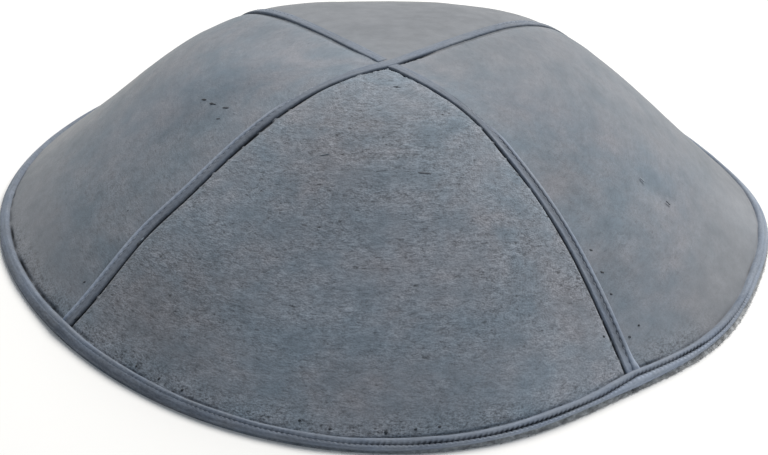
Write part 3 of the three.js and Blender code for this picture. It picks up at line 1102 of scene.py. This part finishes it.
def edge_fuzz():
    """Loose fibres of the raw edge below the rim trim, more and longer where more of it shows."""
    rings = 4
    tried = 3 * FIBRES
    around = random.uniform(0, ROWS, tried)
    raw = sizes(around)["raw_edge"]
    keep = np.argsort(-(raw / raw.max()) * random.uniform(0.4, 1, tried))[:FIBRES]
    around, raw = around[keep], raw[keep]
    down = from_edge(around, raw * random.uniform(0.0, 0.8, FIBRES))
    root = skin(around, down)
    out = outward(around, down)
    below = unit(skin(around, 1.0) - skin(around, 1 - NUDGE))
    beside = np.cross(out, below)
    lean = random.normal(0, 0.7, (FIBRES, 1))
    outwards = random.uniform(0.1, 0.8, (FIBRES, 1))
    downwards = random.uniform(0.1, 1, (FIBRES, 1))
    heading = unit(out * outwards + below * downwards + beside * lean)
    curl = unit(random.normal(0, 1, (FIBRES, 3)))
    length = random.uniform(*FIBRE_LENGTH, (FIBRES, 1)) * (0.6 + raw[:, None] / raw.max())
    share = np.linspace(0, 1, rings)[None, :, None]
    lines = root[:, None] + length[:, None] * (heading[:, None] * share + curl[:, None] * 0.3 * share**2)
    radii = np.broadcast_to(FIBRE_RADIUS * (1 - 0.7 * share[..., 0]), (FIBRES, rings))
    grid = above_floor(tubes(lines, curl, radii, 4), FIBRE_CLEARANCE)
    piece("edge_fuzz", grid, SUEDE, "suede", **suede_layers(grid, cut=0.9, nap=0.3))


def flecks():
    """Small hard marks in the nap: lens-shaped tufts, dark ones matted and light ones pulled up."""
    rings, sides = 7, 8
    bodies, darkness = [], []
    _, across, upright, _ = camera_axes()
    share = np.linspace(-1, 1, rings)
    turn = (np.arange(sides) + 0.5) * 2 * np.pi / sides
    outline = np.sqrt(1 - (share * 0.98) ** 2)
    for photo_x, photo_y, length, width, degrees, *light in FLECKS:
        around, down = behind_pixel(photo_x, photo_y)
        out = outward(np.array(around), np.array(down))
        angle = math.radians(degrees)
        heading = across * math.cos(angle) + upright * math.sin(angle)
        ahead = unit(np.cross(np.cross(out, heading), out))
        beside = np.cross(out, ahead)
        line = skin(around, down) + ahead * (share * length / 2)[:, None] + out * 0.05 * MM
        circle = beside * (np.cos(turn) * width / 2)[:, None] + out * (np.sin(turn) * 0.12 * MM)[:, None]
        wobble = 1 + 0.3 * random.uniform(-1, 1, (rings, 1, 1))
        bodies.append(line[:, None] + circle * outline[:, None, None] * wobble)
        darkness.append(1.0 - sum(light))
    grid = above_floor(np.stack(bodies), FIBRE_CLEARANCE)
    layers = suede_layers(grid, nap=0.4)
    dark = np.array(darkness)[:, None, None]
    # Dark matted flecks: their own dark colour, carried by the gap shade's layer
    layers["gap_shade_and_specks"] += 0.75 * dark
    layers["tone_and_painted_light"] += 0.5 * (1 - dark)
    piece("flecks", grid, SUEDE, "suede", **layers)


# Studio


def studio():
    mesh = bpy.data.meshes.new("floor")
    corners = [(x * FLOOR_HALF, y * FLOOR_HALF, 0) for x, y in ((-1, -1), (1, -1), (1, 1), (-1, 1))]
    mesh.from_pydata(corners, [], [(0, 1, 2, 3)])
    material, tree, shader = new_material("floor", (0.9, 0.9, 0.9), Roughness=0.9, Specular_IOR_Level=0.1)
    tone_and_painted_light = noise(tree, add(tree, "TexCoord").outputs["Object"], (1, 1, 1))
    shown = mixed(tree, spread_of(tree, tone_and_painted_light, -0.3, 0.3), FLOOR_DARK, FLOOR_PALE)
    tree.links.new(shown, shader.inputs["Base Color"])
    mesh.materials.append(material)
    new_object("floor", mesh)

    world = bpy.data.worlds.new("studio")
    world.use_nodes = True
    sky = world.node_tree.nodes["Background"].inputs
    sky["Color"].default_value = SKY_COLOUR
    sky["Strength"].default_value = SKY_STRENGTH
    bpy.context.scene.world = world

    light = bpy.data.lights.new("key", "AREA")
    light.shape = "DISK"
    light.size = KEY_SIZE
    light.energy = KEY_POWER
    light.color = KEY_COLOUR
    key = new_object("key", light)
    key.location = KEY_PLACE
    key.rotation_euler = (-Vector(key.location)).to_track_quat("-Z", "Y").to_euler()
    bpy.context.scene.view_settings.view_transform = "Standard"


photo_camera()
studio()

panel("panel_front", FRONT_LEFT, (OPEN_LEFT, OPEN_RIGHT), (1.12, 1.12), 1)
panel("panel_right", FRONT_RIGHT, (CLOSED, FAINT), (0.40, 0.2), 2)
panel("panel_back", BACK_RIGHT, (CLOSED, CLOSED), (0.15, 0.12), 3)
panel("panel_left", BACK_LEFT, (SOFT, CLOSED), (0.66, 0.28), 4)


def foot_of(seam):
    """Where a seam's trim ends, just under the rim trim's upper side."""
    row = np.array(float(seam))
    return float(from_edge(row, sizes(row)["raw_edge"] + RIM_WIDTH - 0.5 * MM))


LONG = (FRONT_LEFT, BACK_RIGHT)
SHORT = (BACK_LEFT, FRONT_RIGHT)
CROSSING = 0.012  # where the short trims start beside the long one, on the scale of down
THREAD_TOP = 0.3  # no thread shows nearer the crown, on the same scale
THREAD_END = 0.02  # from a trim's foot to its last stitch
seam_trim("seam_trim_long", *LONG, -foot_of(FRONT_LEFT), foot_of(BACK_RIGHT))
seam_trim("seam_trim_front", *SHORT, CROSSING, foot_of(FRONT_RIGHT), flare=0.0007, seed=1)
seam_trim("seam_trim_back", *SHORT, -foot_of(BACK_LEFT), -CROSSING, seed=2)
rim_stitches(*rim_trim())
THREADS = (
    ("thread_front_left", LONG, FRONT_LEFT, -1),
    ("thread_front_right", SHORT, FRONT_RIGHT, 1),
    ("thread_back_right", LONG, BACK_RIGHT, 1),
    ("thread_back_left", SHORT, BACK_LEFT, -1),
)
for name, seams, seam, way in THREADS:
    reach = sorted((way * THREAD_TOP, way * (foot_of(seam) - THREAD_END)))
    seam_stitches(name, *seams, *reach)
edge_fuzz()
flecks()
